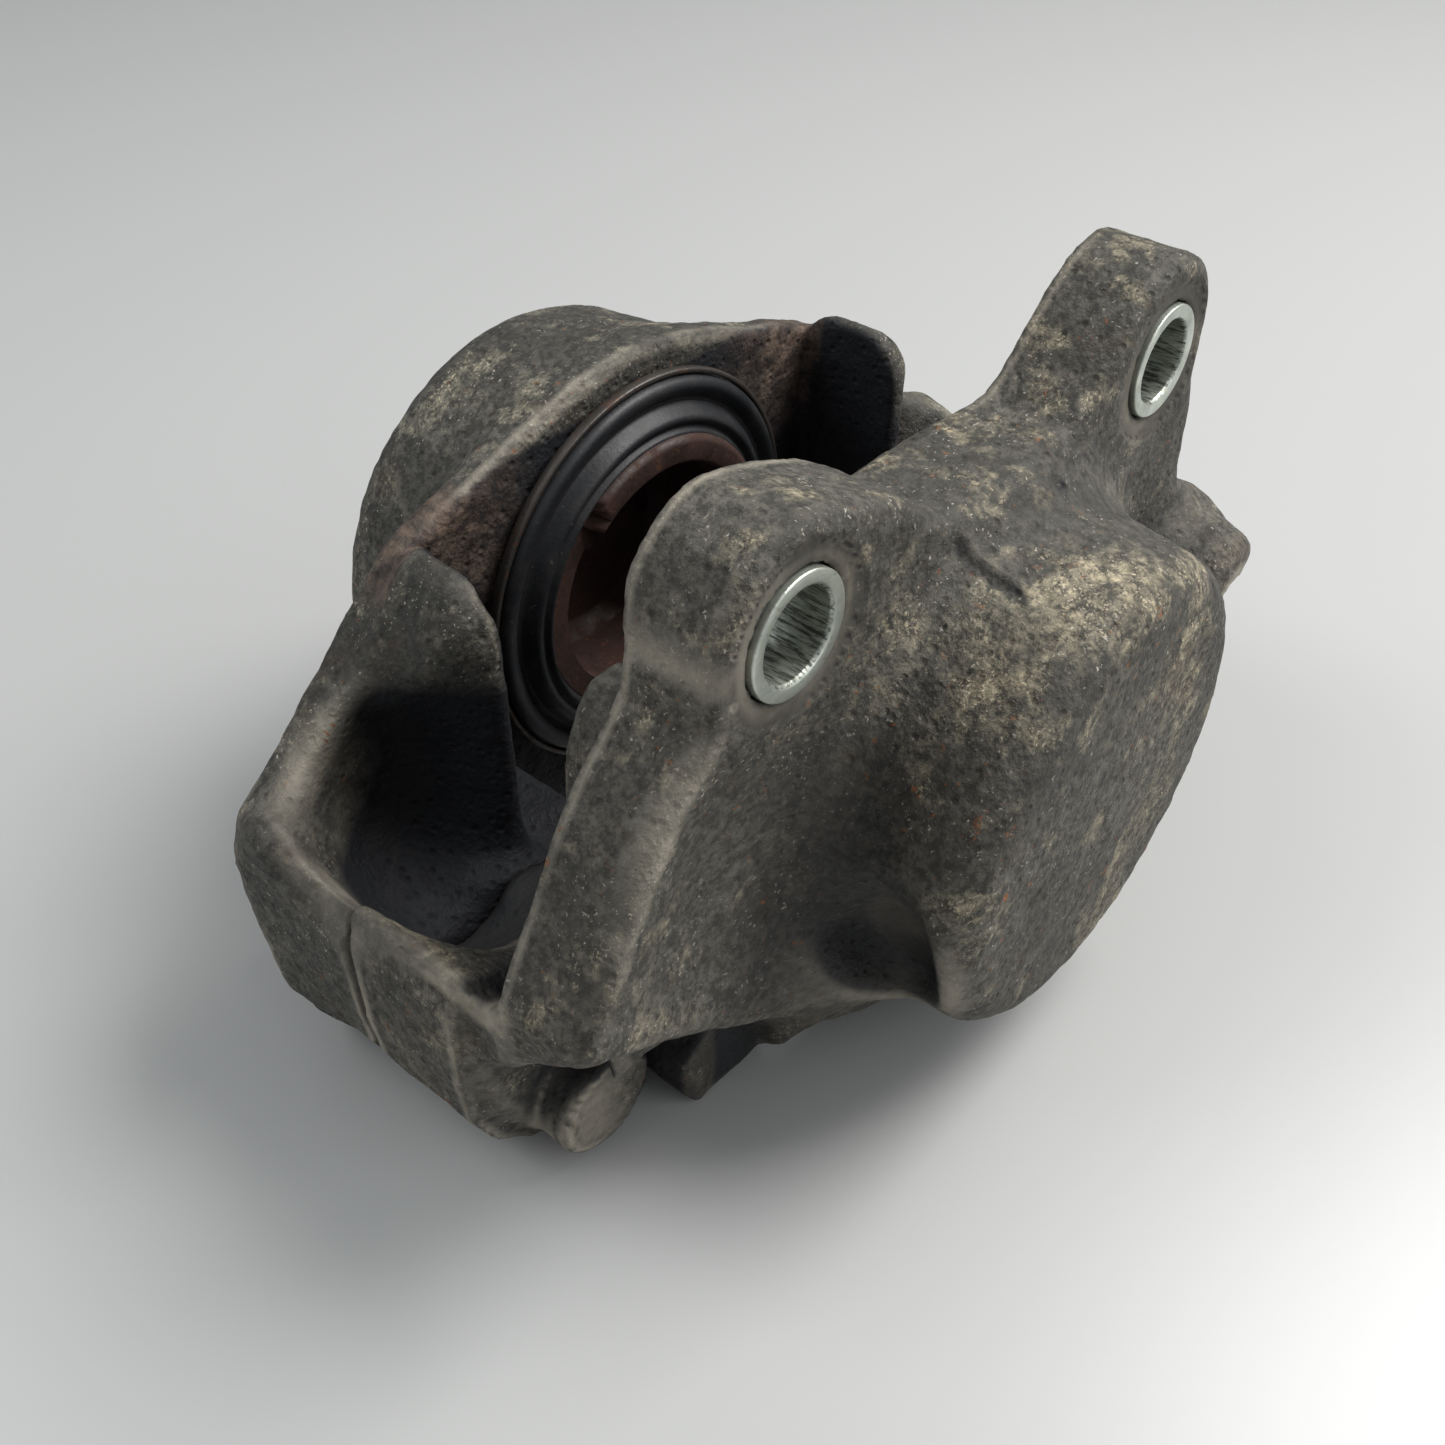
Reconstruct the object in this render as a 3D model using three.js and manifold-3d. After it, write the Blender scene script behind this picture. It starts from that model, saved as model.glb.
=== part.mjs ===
// Fixed two-piston disc-brake caliper, as a three.js scene graph.
// Millimetres, +Z up. The caliper stands on its bridge: z = 0 is the underside of the bridge.
// x runs along the bridge, y along the pistons, and y = 0 is the middle plane of the brake disc.
// The inner half, with the mounting ears, is on the -y side. The outer half is on the +y side.

import * as THREE from 'three';
import { mergeVertices } from 'three/addons/utils/BufferGeometryUtils.js';
import Module from 'manifold-3d';

const wasm = await Module();
wasm.setup();

// ---------- driving dimensions ----------
const FIT = 0.3;                    // gap kept between neighbouring solids
const OVERCUT = 1;                  // how far a cutting tool runs past a face

const EAR = { x: 41, z: 88, radius: 12.5, front: -36, back: -21, spotRadius: 11.2, spotDepth: 0.6 };
const BUSH = { outer: 8.1, bore: 5.93 };

const AXIS_Z = 46;                  // height of the piston axis
const DRUM = { end: 59.5, edge: 9 };
const INNER_DRUM = { radius: 35.5, root: 38, z: AXIS_Z };
const OUTER_DRUM = { radius: 38.5, root: 40, z: AXIS_Z - 3 };
const WALL = { face: 24, recess: 28 };    // faces of the walls beside the disc, and behind the pads
const BORE = { radius: 24.25, floor: 50.5 };
const PISTON = { radius: 24, rim: 22, back: 49.6, cup: 19.4, cupFloor: 41, chamfer: 1 };
const GROOVE = { near: 32, far: 36.2, radius: 27.4 };
const COLLAR = { radius: 30, face: 25.5 };
const BOOT = { radius: 32.4, face: 22.8, inner: 24.3, wall: 2.3 };
const CLAMP = { inner: 32.7, outer: 33.6, near: 25.4, far: 27.2 };

const DISC = { centreZ: 144, clearRadius: 126 };   // the circle that the bridge clears, at disc height
const SPLIT_Y = 6;                  // plane where the two halves meet
const HALF_LENGTH = 79;             // half the length of the bridge
const RIM_X = 76.5;                 // where the bridge's hollow top meets its ends
const WINDOW = { halfX: 33, top: 30 };   // opening through the bridge that the pads go in by
const ARM_UNDERSIDE = 80.2;         // the arm between the ears passes over the inner pad at this height

const ABUTMENT = { near: 43, far: 54, face: 10, top: 74 };
const INNER_PILLAR = { plan: [[43, 10], [54, 10], [55, 13]], crown: [[57, 56], [54.5, 65], [52, 71], [49, 74]] };
const OUTER_PILLAR = { plan: [[43, 10], [47, 10], [54, 15]], crown: [[56, 56], [51, 66], [48, 71], [45, 74]] };
const BOLT = { radius: 4.9, hole: 5.25, tip: -16, seat: 34, headRadius: 8, headHeight: 9.5 };
const SOCKET = { radius: 4.6, depth: 5.5 };
const BOLT_PLACES = {
  outer_left: [-61, 10.5],
  inner_left: [-43, 10],
  inner_right: [43, 10],
  outer_right: [61, 10.5],
};
const LUG = { radius: 8.6, front: -22, innerFront: -27, root: -15.5, top: 17 };    // round the ends of the bolts
const BOWL = { centre: [60.5, 8.5, 45], radii: [12.5, 17.5, 19.5] };    // hollow at each open end
const INLET = { x: 58.5, z: 42.5, radius: 11, edge: 4, end: -48.5, port: 4.6, portDepth: 12 };
const DRILLING = { radius: 1.6, reach: 18 };    // from the inlet port towards the bore
const PASSAGE = { x: 68, z: 20, radius: 1.6, depth: 16, sealPocket: 4.6, sealDepth: 2.2, cord: 0.95 };
const BLEED = { x: 60, z: 43, boss: 8, bossEnd: 43, hole: 4.3, thread: 4, hex: 5.2, hexEnd: 48, seat: 28.3 };
const NIPPLE = { neck: 3, shoulder: 49.5, end: 54.5, drill: 0.9 };
const CAP = { radius: 4.2, wall: 0.9, near: 48.9, far: 56.5 };

const ROUND = 40;                   // facets round a large circle
const SMALL_ROUND = 20;             // facets round a small circle

// ---------- helpers ----------
// Turns a closed three.js geometry into a solid, with its faces outwards and no empty triangles.
function solid(geometry) {
  const bare = geometry.clone();
  bare.deleteAttribute('normal');
  bare.deleteAttribute('uv');
  const merged = mergeVertices(bare, 1e-3);
  const points = merged.attributes.position.array;
  const corners = [];
  let volume = 0;
  for (let i = 0; i < merged.index.count; i += 3) {
    const [a, b, c] = [0, 1, 2].map((k) => merged.index.getX(i + k));
    if (a === b || b === c || c === a) continue;
    corners.push(a, b, c);
    const [p, q, r] = [a, b, c].map((k) => new THREE.Vector3().fromArray(points, 3 * k));
    volume += p.dot(q.cross(r));
  }
  if (volume < 0) corners.reverse();
  return new wasm.Manifold(new wasm.Mesh({
    numProp: 3,
    vertProperties: new Float32Array(points),
    triVerts: new Uint32Array(corners),
  }));
}

// Turns a solid back into a three.js geometry with flat faces.
function geometryOf(body) {
  const { vertProperties, triVerts } = body.getMesh();
  const geometry = new THREE.BufferGeometry();
  geometry.setAttribute('position', new THREE.BufferAttribute(vertProperties, 3));
  geometry.setIndex(new THREE.BufferAttribute(triVerts, 1));
  return geometry;
}

// An outline of [x, z] points carried along y from one place to the other.
function plate(outline, y0, y1) {
  const shape = new THREE.Shape(outline.map(([x, z]) => new THREE.Vector2(x, z)));
  const depth = Math.abs(y1 - y0);
  const geometry = new THREE.ExtrudeGeometry(shape, { depth, bevelEnabled: false });
  geometry.rotateX(Math.PI / 2);
  geometry.translate(0, Math.max(y0, y1), 0);
  return solid(geometry);
}

// An outline of [x, y] points carried upwards from z0 to z1.
function column(outline, z0, z1) {
  const shape = new THREE.Shape(outline.map(([x, y]) => new THREE.Vector2(x, y)));
  const geometry = new THREE.ExtrudeGeometry(shape, { depth: z1 - z0, bevelEnabled: false });
  geometry.translate(0, 0, z0);
  return solid(geometry);
}

function box([x0, x1], [y0, y1], [z0, z1]) {
  const geometry = new THREE.BoxGeometry(x1 - x0, y1 - y0, z1 - z0);
  geometry.translate((x0 + x1) / 2, (y0 + y1) / 2, (z0 + z1) / 2);
  return solid(geometry);
}

// A round bar along y.
function bar(x, z, radius, y0, y1, facets = SMALL_ROUND) {
  const geometry = new THREE.CylinderGeometry(radius, radius, Math.abs(y1 - y0), facets);
  geometry.translate(x, (y0 + y1) / 2, z);
  return solid(geometry);
}

// A profile of [radius, distance] points turned about a line along y. side is -1 or 1:
// the distance is counted outwards from the disc plane, on the inner or the outer half.
function turned(profile, side = 1, { x = 0, z = AXIS_Z, facets = ROUND } = {}) {
  const points = profile.map(([radius, distance]) => new THREE.Vector2(radius, side * distance));
  const geometry = new THREE.LatheGeometry(points, facets);
  geometry.translate(x, 0, z);
  return solid(geometry);
}

// An egg shape from its centre and its three radii.
function egg([x, y, z], radii) {
  const geometry = new THREE.SphereGeometry(1, 24, 16);
  geometry.scale(...radii);
  geometry.translate(x, y, z);
  return solid(geometry);
}

// Points of an arc from one angle to another, in degrees, in the plane of an outline.
function arc(cx, cz, radius, from, to, steps) {
  return Array.from({ length: steps + 1 }, (_, i) => {
    const angle = THREE.MathUtils.degToRad(from + (to - from) * i / steps);
    return [cx + radius * Math.cos(angle), cz + radius * Math.sin(angle)];
  });
}

const closedRing = (profile) => [...profile, profile[0]];
const mirrored = (half) => [...half, ...half.map(([x, z]) => [-x, z]).reverse()];
const joined = (bodies) => bodies.reduce((whole, body) => whole.add(body));
const cut = (body, tools) => tools.reduce((rest, tool) => rest.subtract(tool), body);
const discFloor = (x) => DISC.centreZ - Math.sqrt(DISC.clearRadius ** 2 - x ** 2);

const caliper = new THREE.Group();

function addPart(name, body, { color, roughness, metalness }, parent = caliper) {
  const material = new THREE.MeshStandardMaterial({ color, roughness, metalness });
  const mesh = new THREE.Mesh(geometryOf(body), material);
  mesh.geometry.computeVertexNormals();
  mesh.name = name;
  parent.add(mesh);
  return mesh;
}

const CAST_IRON = { color: 0x4a443c, roughness: 0.85, metalness: 0.4 };
const ZINC = { color: 0x9aa096, roughness: 0.4, metalness: 0.9 };
const RUSTY_STEEL = { color: 0x5a3a30, roughness: 0.7, metalness: 0.5 };
const RUBBER = { color: 0x1c1d1f, roughness: 0.75, metalness: 0 };
const BOLT_STEEL = { color: 0x4b4743, roughness: 0.55, metalness: 0.8 };

// ---------- shapes that both halves share ----------
// The cylinder that holds a piston: closed at its outer end, with a well rounded edge.
function drum(side, { radius, root, z }) {
  const shoulder = radius - DRUM.edge;
  const rounded = arc(shoulder, DRUM.end - DRUM.edge, DRUM.edge, 90, 0, 6);
  const profile = [[0, DRUM.end], ...rounded, [root, WALL.face + 8], [root, WALL.face], [0, WALL.face]];
  return turned(profile, side, { z });
}

// The collar round the mouth of the bore, which the dust boot grips.
function collar(side) {
  const root = WALL.recess + OVERCUT;
  return turned([[0, COLLAR.face], [COLLAR.radius, COLLAR.face], [COLLAR.radius, root], [0, root]], side);
}

// The bore, with its seal groove.
function boreTool(side) {
  return turned([[0, COLLAR.face - OVERCUT], [BORE.radius, COLLAR.face - OVERCUT], [BORE.radius, GROOVE.near],
    [GROOVE.radius, GROOVE.near], [GROOVE.radius, GROOVE.far], [BORE.radius, GROOVE.far],
    [BORE.radius, BORE.floor], [0, BORE.floor]], side);
}

// Pillars that the ends of the pads bear on, one at each end. Their backs slope away to the open ends.
function abutments(side) {
  const { near, far, face, top } = ABUTMENT;
  const { plan, crown } = side < 0 ? INNER_PILLAR : OUTER_PILLAR;
  const deep = WALL.face + OVERCUT;
  const reach = 9;
  const foot = discFloor(far) - 3;
  return [-1, 1].map((end) => {
    const outline = [...plan, [far + reach, deep], [near, deep]];
    const pillar = column(outline.map(([x, y]) => [end * x, side * y]), foot, top);
    const arch = [[near - OVERCUT, foot - OVERCUT], [far + reach + 2, foot - OVERCUT],
      [far + reach + 2, discFloor(far) + 6], ...crown, [near - OVERCUT, top]];
    const arched = arch.map(([x, z]) => [end * x, z]);
    const limits = plate(arched, side * (face - OVERCUT), side * (deep + OVERCUT));
    return pillar.intersect(limits);
  });
}

// Section of the bridge: the disc runs over its hollow top, and its underside is flat.
// Its ends are fuller in the middle of the caliper than at the wings.
function bridgeOutline(full) {
  const tip = [RIM_X, 43.5];
  const slim = [[0, 0], [56, 0], [64, 3], [69, 9], [74, 18], [RIM_X, 28], [RIM_X, 38], tip];
  const belly = [[0, 0], [60, 0], [69, 2.5], [74.5, 8], [78, 16], [HALF_LENGTH, 26], [HALF_LENGTH, 38], tip];
  const under = full ? belly : slim;
  const reach = THREE.MathUtils.radToDeg(Math.asin(RIM_X / DISC.clearRadius));
  const floor = arc(0, DISC.centreZ, DISC.clearRadius, -90 + reach, -90, 9).slice(1);
  return mirrored([...under, ...floor]);
}

// The room for a pad in one half: a window through the bridge, and a flat-backed recess
// between the abutments, up to the given height.
function padRoom(side, start, top) {
  const [low, high] = [start, side * WALL.recess].sort((a, b) => a - b);
  const window = box([-WINDOW.halfX, WINDOW.halfX], [low, high], [-OVERCUT, WINDOW.top]);
  const recess = box([-ABUTMENT.near, ABUTMENT.near], [low, high], [WINDOW.top - 4, top]);
  return window.add(recess);
}

// The deep bowls at the open ends, which reach across both halves beside the disc.
function bowls() {
  const [x, y, z] = BOWL.centre;
  return [-1, 1].map((end) => egg([end * x, y, z], BOWL.radii));
}

// ---------- inner half ----------
function innerHousing() {
  const earTop = arc(EAR.x + 0.5, EAR.z + 2.3, EAR.radius, 90, -10, 8);
  const wideFlank = [[54.8, 81.5], [57.3, 78.5], [61.5, 74], [66.5, 67.5], [70.5, 60.5],
    [74.5, 53.5], [77.3, 47.5]];
  const slimFlank = [[54.3, 81.5], [56.5, 73], [57.5, 62], [61, 56.5], [69, 52], [76.5, 47]];
  const slimSlope = [[0, 87.2], [10, 87], [17.5, 87.8], [23, 91.9], [30, 98], [34, 100.8], [38, 102.2]];
  const wideSlope = [[0, 87.2], [6, 87.6], [12, 88.8], [16, 91.4], [19.5, 94.4], [24, 97], [30, 99.6],
    [38, 102.2]];
  const frontEdge = [[76, 43], [68, 38.5], [53.5, 28], [34, 14], [0, 13]];
  const backEdge = [[76, 40], [72, 30], [62, 18], [52, 12], [36, 4], [0, 4]];
  const wing = (foot) => [
    ...[...slimSlope, ...earTop, ...slimFlank, ...foot],
    ...[...wideSlope, ...earTop, ...wideFlank, ...foot].map(([x, z]) => [-x, z]).reverse()];
  const face = plate(wing(frontEdge), EAR.front, -29);
  const backing = plate(wing(backEdge), -29.2, EAR.back);
  const joint = SPLIT_Y - FIT / 2;
  const slimBridge = cut(plate(bridgeOutline(false), LUG.front, joint), [-1, 1].map((end) => {
    const across = [36 * end, (HALF_LENGTH + OVERCUT) * end].sort((a, b) => a - b);
    return box(across, [LUG.front - OVERCUT, LUG.root], [-OVERCUT, LUG.top]);
  }));
  const bridge = slimBridge.add(plate(bridgeOutline(true), -13.5, joint));
  const boltBoss = [[33, 1.5], [38, 0], [48, 0.6], [50.5, 5], [50.5, 12], [44, 18], [0, 18], [0, 5]];
  const innerLugs = plate(mirrored(boltBoss), LUG.innerFront, -13);
  const outerLugs = [BOLT_PLACES.outer_left, BOLT_PLACES.outer_right].map(([x, z]) => (
    bar(x, z, LUG.radius, LUG.front, -12, 24)));
  const sill = plate(mirrored([[0, 5], [36, 5], [36, 18], [0, 18]]), -32.5, 2 - WALL.recess);
  const { radius, edge, end: inletEnd } = INLET;
  const inletBoss = turned([[0, -inletEnd], ...arc(radius - edge, -inletEnd - edge, edge, 90, 0, 3),
    [radius, 30], [0, 30]], -1, { x: INLET.x, z: INLET.z, facets: SMALL_ROUND });
  const casting = joined([face, backing, bridge, innerLugs, ...outerLugs, sill, drum(-1, INNER_DRUM),
    inletBoss, ...abutments(-1)]);
  const room = padRoom(-1, SPLIT_Y + OVERCUT, ARM_UNDERSIDE);
  const whole = cut(casting, [room, ...bowls()]).add(collar(-1));

  const tools = [boreTool(-1)];
  for (const end of [-1, 1]) {
    tools.push(bar(end * EAR.x, EAR.z, BUSH.outer + FIT, EAR.front - OVERCUT, EAR.back + OVERCUT));
    tools.push(bar(end * EAR.x, EAR.z, EAR.spotRadius, EAR.front - OVERCUT, EAR.front + EAR.spotDepth));
    const [x, z] = [end * PASSAGE.x, PASSAGE.z];
    tools.push(bar(x, z, PASSAGE.radius, SPLIT_Y - PASSAGE.depth, SPLIT_Y + OVERCUT, 12));
  }
  for (const [x, z] of Object.values(BOLT_PLACES)) {
    tools.push(bar(x, z, BOLT.hole, BOLT.tip - FIT - OVERCUT, SPLIT_Y + OVERCUT));
  }
  tools.push(bar(INLET.x, INLET.z, INLET.port, INLET.end - OVERCUT, INLET.end + INLET.portDepth));
  tools.push(bar(INLET.x, INLET.z, DRILLING.radius, INLET.end, INLET.end + DRILLING.reach, 12));
  return cut(whole, tools);
}

// ---------- outer half ----------
function outerHousing() {
  const top = [[0, 80], [22, 78], [36, 74.5], [45, 71], [52, 64.5], [60, 57], [68, 49.5], [75, 42.5]];
  const foot = [[77, 37], [76, 26], [73.5, 18], [70, 8], [64, 2], [57, 0], [0, 0]];
  const wall = plate(mirrored([...top, ...foot]), WALL.face - 0.2, BOLT.seat);
  const bridge = plate(bridgeOutline(true), SPLIT_Y + FIT / 2, WALL.face);
  const bleedBoss = bar(BLEED.x, BLEED.z, BLEED.boss, WALL.face + 2, BLEED.bossEnd);
  const casting = joined([wall, bridge, drum(1, OUTER_DRUM), bleedBoss, ...abutments(1)]);
  const whole = cut(casting, [padRoom(1, SPLIT_Y - OVERCUT, EAR.z), ...bowls()]).add(collar(1));

  const tools = [boreTool(1)];
  for (const end of [-1, 1]) {
    const [x, z] = [end * PASSAGE.x, PASSAGE.z];
    tools.push(bar(x, z, PASSAGE.radius, SPLIT_Y - OVERCUT, SPLIT_Y + PASSAGE.depth, 12));
    tools.push(bar(x, z, PASSAGE.sealPocket, SPLIT_Y - OVERCUT, SPLIT_Y + PASSAGE.sealDepth));
  }
  for (const [x, z] of Object.values(BOLT_PLACES)) {
    tools.push(bar(x, z, BOLT.hole, SPLIT_Y - OVERCUT, BOLT.seat + OVERCUT));
  }
  tools.push(bar(BLEED.x, BLEED.z, BLEED.hole, BLEED.seat - FIT, BLEED.bossEnd + OVERCUT));
  return cut(whole, tools);
}

addPart('inner_housing', innerHousing(), CAST_IRON);
addPart('outer_housing', outerHousing(), CAST_IRON);

// ---------- mounting bushes ----------
for (const [name, x] of [['left', -EAR.x], ['right', EAR.x]]) {
  const sleeve = bar(x, EAR.z, BUSH.outer, EAR.front, EAR.back).subtract(
    bar(x, EAR.z, BUSH.bore, EAR.front - OVERCUT, EAR.back + OVERCUT));
  addPart(`${name}_mounting_bush`, sleeve, ZINC);
}

// ---------- pistons, seals, boots and clamp rings ----------
function piston(side) {
  const { radius, rim, back, cup, cupFloor, chamfer } = PISTON;
  const body = turned([[0, cupFloor], [cup - 3, cupFloor], [cup, cupFloor - 3], [cup, rim],
    [radius - chamfer, rim], [radius, rim + chamfer], [radius, 24.2], [radius - 1.4, 24.6],
    [radius - 1.4, 27], [radius, 27.4],
    [radius, back - chamfer], [radius - chamfer, back], [0, back]], side);
  // A segment of the rim is cut back, so that the pad's trailing end is pressed a little less.
  const across = [-radius - OVERCUT, -13].map((x) => side * x).sort((a, b) => a - b);
  const along = [rim - OVERCUT, rim + 2.5].map((y) => side * y).sort((a, b) => a - b);
  return body.subtract(box(across, along, [AXIS_Z - radius, AXIS_Z + radius]));
}

function pistonSeal(side) {
  const inner = PISTON.radius + 0.15;
  const outer = GROOVE.radius - FIT;
  const [near, far] = [GROOVE.near + FIT, GROOVE.far - FIT];
  return turned(closedRing([[inner, near], [outer, near], [outer, far], [inner, far]]), side);
}

function dustBoot(side) {
  const { radius, face, inner, wall } = BOOT;
  const grip = COLLAR.radius + FIT;
  const seat = WALL.recess - FIT;
  return turned(closedRing([[grip, seat], [radius, seat], [radius, face + 1.6], [radius - 1.2, face + 0.3],
    [inner + 3, face], [inner, face + 0.4], [inner, face + wall], [grip, face + wall]]), side);
}

function clampRing(side) {
  const { inner, outer, near, far } = CLAMP;
  return turned(closedRing([[inner, near], [outer, near], [outer, far], [inner, far]]), side);
}

for (const [name, side] of [['inner', -1], ['outer', 1]]) {
  addPart(`${name}_piston`, piston(side), RUSTY_STEEL);
  addPart(`${name}_piston_seal`, pistonSeal(side), RUBBER);
  addPart(`${name}_dust_boot`, dustBoot(side), RUBBER);
  addPart(`${name}_boot_clamp_ring`, clampRing(side), BOLT_STEEL);
}

// ---------- bridge bolts ----------
// Cap screws from the outer half: the heads bear on its back, the ends are screwed into the inner half.
for (const [place, [x, z]] of Object.entries(BOLT_PLACES)) {
  const seat = BOLT.seat + FIT;
  const end = seat + BOLT.headHeight;
  const head = turned([[0, seat], [BOLT.headRadius, seat], [BOLT.headRadius, end - 1],
    [BOLT.headRadius - 1, end], [0, end]], 1, { x, z, facets: SMALL_ROUND });
  const shank = bar(x, z, BOLT.radius, BOLT.tip, seat + OVERCUT);
  const socket = bar(x, z, SOCKET.radius, end - SOCKET.depth, end + OVERCUT, 6);
  addPart(`bridge_bolt_${place}`, head.add(shank).subtract(socket), BOLT_STEEL);
}

// ---------- passage seals ----------
// O-rings round the two fluid passages, pinched between the halves.
for (const [name, end] of [['left', -1], ['right', 1]]) {
  const { cord, sealPocket, sealDepth } = PASSAGE;
  const section = arc(sealPocket - FIT - cord, SPLIT_Y + sealDepth / 2 + 0.1, cord * 0.9, 0, 360, 10);
  const seal = turned(section, 1, { x: end * PASSAGE.x, z: PASSAGE.z, facets: SMALL_ROUND });
  addPart(`${name}_passage_seal`, seal, RUBBER);
}

// ---------- bleed screw and its cap ----------
const atBleed = { x: BLEED.x, z: BLEED.z, facets: SMALL_ROUND };
const { thread, seat: tip, bossEnd, hex, hexEnd } = BLEED;
const { neck, shoulder, end: nippleEnd } = NIPPLE;
const screw = turned([[0, tip], [thread - 2, tip], [thread, tip + 2.5], [thread, bossEnd + FIT],
  [neck, bossEnd + FIT], [neck, shoulder], [2, shoulder + 1], [2, nippleEnd - 2.5], [2.7, nippleEnd - 1.5],
  [2, nippleEnd], [0, nippleEnd]], 1, atBleed);
const hexagon = bar(BLEED.x, BLEED.z, hex, bossEnd + FIT, hexEnd, 6);
const drilling = bar(BLEED.x, BLEED.z, NIPPLE.drill, 40, nippleEnd + OVERCUT, 8);
addPart('bleed_screw', screw.add(hexagon).subtract(drilling), BOLT_STEEL);

const hollow = CAP.radius - CAP.wall;
const cap = turned([[0, CAP.far], [3, CAP.far], [3.9, CAP.far - 1], [CAP.radius, CAP.near],
  [hollow, CAP.near], [hollow, CAP.far - 1.5], [0, CAP.far - 1.5]], 1, atBleed);
addPart('bleed_screw_cap', cap, RUBBER);

export default caliper;
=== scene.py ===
# %% [markdown]
# # A fixed brake caliper, piece by piece
# The caliper is two cast-iron halves bolted together round a brake disc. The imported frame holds
# every piece at its true size. This lesson puts a detailed surface in the place of each piece,
# and gives it a finish: sand-cast iron with dirt and rust, zinc, rusty steel and rubber.
# The first cell loads the frame and keeps its box, because the looks never change the size.

# %% Load the frame
import itertools
import math

import bpy
import numpy as np
from mathutils import Matrix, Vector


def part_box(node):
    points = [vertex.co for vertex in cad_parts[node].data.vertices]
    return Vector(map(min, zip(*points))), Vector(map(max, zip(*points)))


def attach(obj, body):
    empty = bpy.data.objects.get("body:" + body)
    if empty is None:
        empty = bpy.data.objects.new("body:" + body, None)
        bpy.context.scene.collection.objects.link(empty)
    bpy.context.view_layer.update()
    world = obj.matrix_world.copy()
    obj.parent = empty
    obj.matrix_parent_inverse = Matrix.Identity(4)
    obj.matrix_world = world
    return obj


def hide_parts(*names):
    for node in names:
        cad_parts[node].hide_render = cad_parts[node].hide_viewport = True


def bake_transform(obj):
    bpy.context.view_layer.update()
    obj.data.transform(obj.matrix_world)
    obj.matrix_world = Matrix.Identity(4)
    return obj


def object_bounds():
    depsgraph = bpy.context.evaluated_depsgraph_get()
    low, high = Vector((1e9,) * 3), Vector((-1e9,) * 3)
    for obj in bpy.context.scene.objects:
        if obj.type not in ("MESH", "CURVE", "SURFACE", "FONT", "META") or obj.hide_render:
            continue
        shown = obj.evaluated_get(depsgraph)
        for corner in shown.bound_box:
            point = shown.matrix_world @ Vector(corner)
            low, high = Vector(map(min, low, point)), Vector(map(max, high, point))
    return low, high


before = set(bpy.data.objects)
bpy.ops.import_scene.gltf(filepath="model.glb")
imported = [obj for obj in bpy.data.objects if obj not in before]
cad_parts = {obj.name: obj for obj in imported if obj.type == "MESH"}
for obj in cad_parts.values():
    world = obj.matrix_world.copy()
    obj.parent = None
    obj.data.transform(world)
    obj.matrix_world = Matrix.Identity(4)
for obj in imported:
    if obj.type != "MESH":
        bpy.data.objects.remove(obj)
CAD_BOX = [list(corner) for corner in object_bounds()]
print("CAD box in metres:", CAD_BOX)

# %% [markdown]
# ## Camera
# The camera stands above the left end of the caliper and looks down at it, so that both halves,
# the slot between them and the two ears can be seen. A 37 mm lens on a square 36 mm sensor
# gives a fairly strong perspective, because the camera is only 23 cm away.

# %% Camera
RIGHT = np.array([0.649, -0.761, 0.005])
DOWN = np.array([-0.500, -0.432, -0.751])
FORWARD = np.cross(RIGHT, DOWN)
LENS_MM = 36.0 * 1500 / 1445


def put(name, data, place, right, back):
    """A camera or lamp at a place. Its picture plane lies along right, and across back."""
    thing = bpy.data.objects.new(name, data)
    bpy.context.scene.collection.objects.link(thing)
    right, back = right / np.linalg.norm(right), back / np.linalg.norm(back)
    matrix = np.eye(4)
    matrix[:3] = np.stack([right, np.cross(back, right), back, place], 1)
    thing.matrix_world = Matrix(matrix.tolist())
    return thing


camera_data = bpy.data.cameras.new("camera")
camera_data.lens = LENS_MM
camera_data.sensor_width = 36.0
camera_data.clip_start, camera_data.clip_end = 0.01, 20.0
CAMERA_PLACE = (-0.1439, -0.1120, 0.1880)
bpy.context.scene.camera = put("camera", camera_data, CAMERA_PLACE, RIGHT, -FORWARD)
print("camera at", [round(v, 3) for v in bpy.context.scene.camera.matrix_world.translation])

# %% [markdown]
# ## Light and floor
# A large soft lamp high on the right gives the main light and a faint shadow to the left. A second,
# weaker one stands behind the camera. The sky is an even pale grey, and the floor is a pale,
# slightly shiny sheet. None of them is part of the object.


# %% Studio
def area_light(name, place, target, size, watts, colour):
    """A square soft lamp at a place, facing a target."""
    data = bpy.data.lights.new(name, "AREA")
    data.shape = "SQUARE"
    data.size = size
    data.energy = watts
    data.color = colour
    away = np.array(place) - np.array(target)
    return put(name, data, place, np.cross((0, 0, 1.0), away), away)


CENTRE = (0.0, -0.01, 0.04)
area_light("key_light", (0.50, -0.30, 0.80), CENTRE, 0.5, 11.0, (1.0, 0.985, 0.96))
area_light("front_light", (0.25, -0.80, 0.45), CENTRE, 0.7, 2.6, (0.97, 0.985, 1.0))
area_light("back_light", (-0.45, 0.45, 0.75), CENTRE, 0.5, 3.0, (0.95, 0.98, 1.0))

world = bpy.data.worlds.new("studio")
world.use_nodes = True
world.node_tree.nodes["Background"].inputs["Color"].default_value = (0.80, 0.82, 0.84, 1.0)
world.node_tree.nodes["Background"].inputs["Strength"].default_value = 0.36
bpy.context.scene.world = world
bpy.context.scene.view_settings.view_transform = "Standard"


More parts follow.
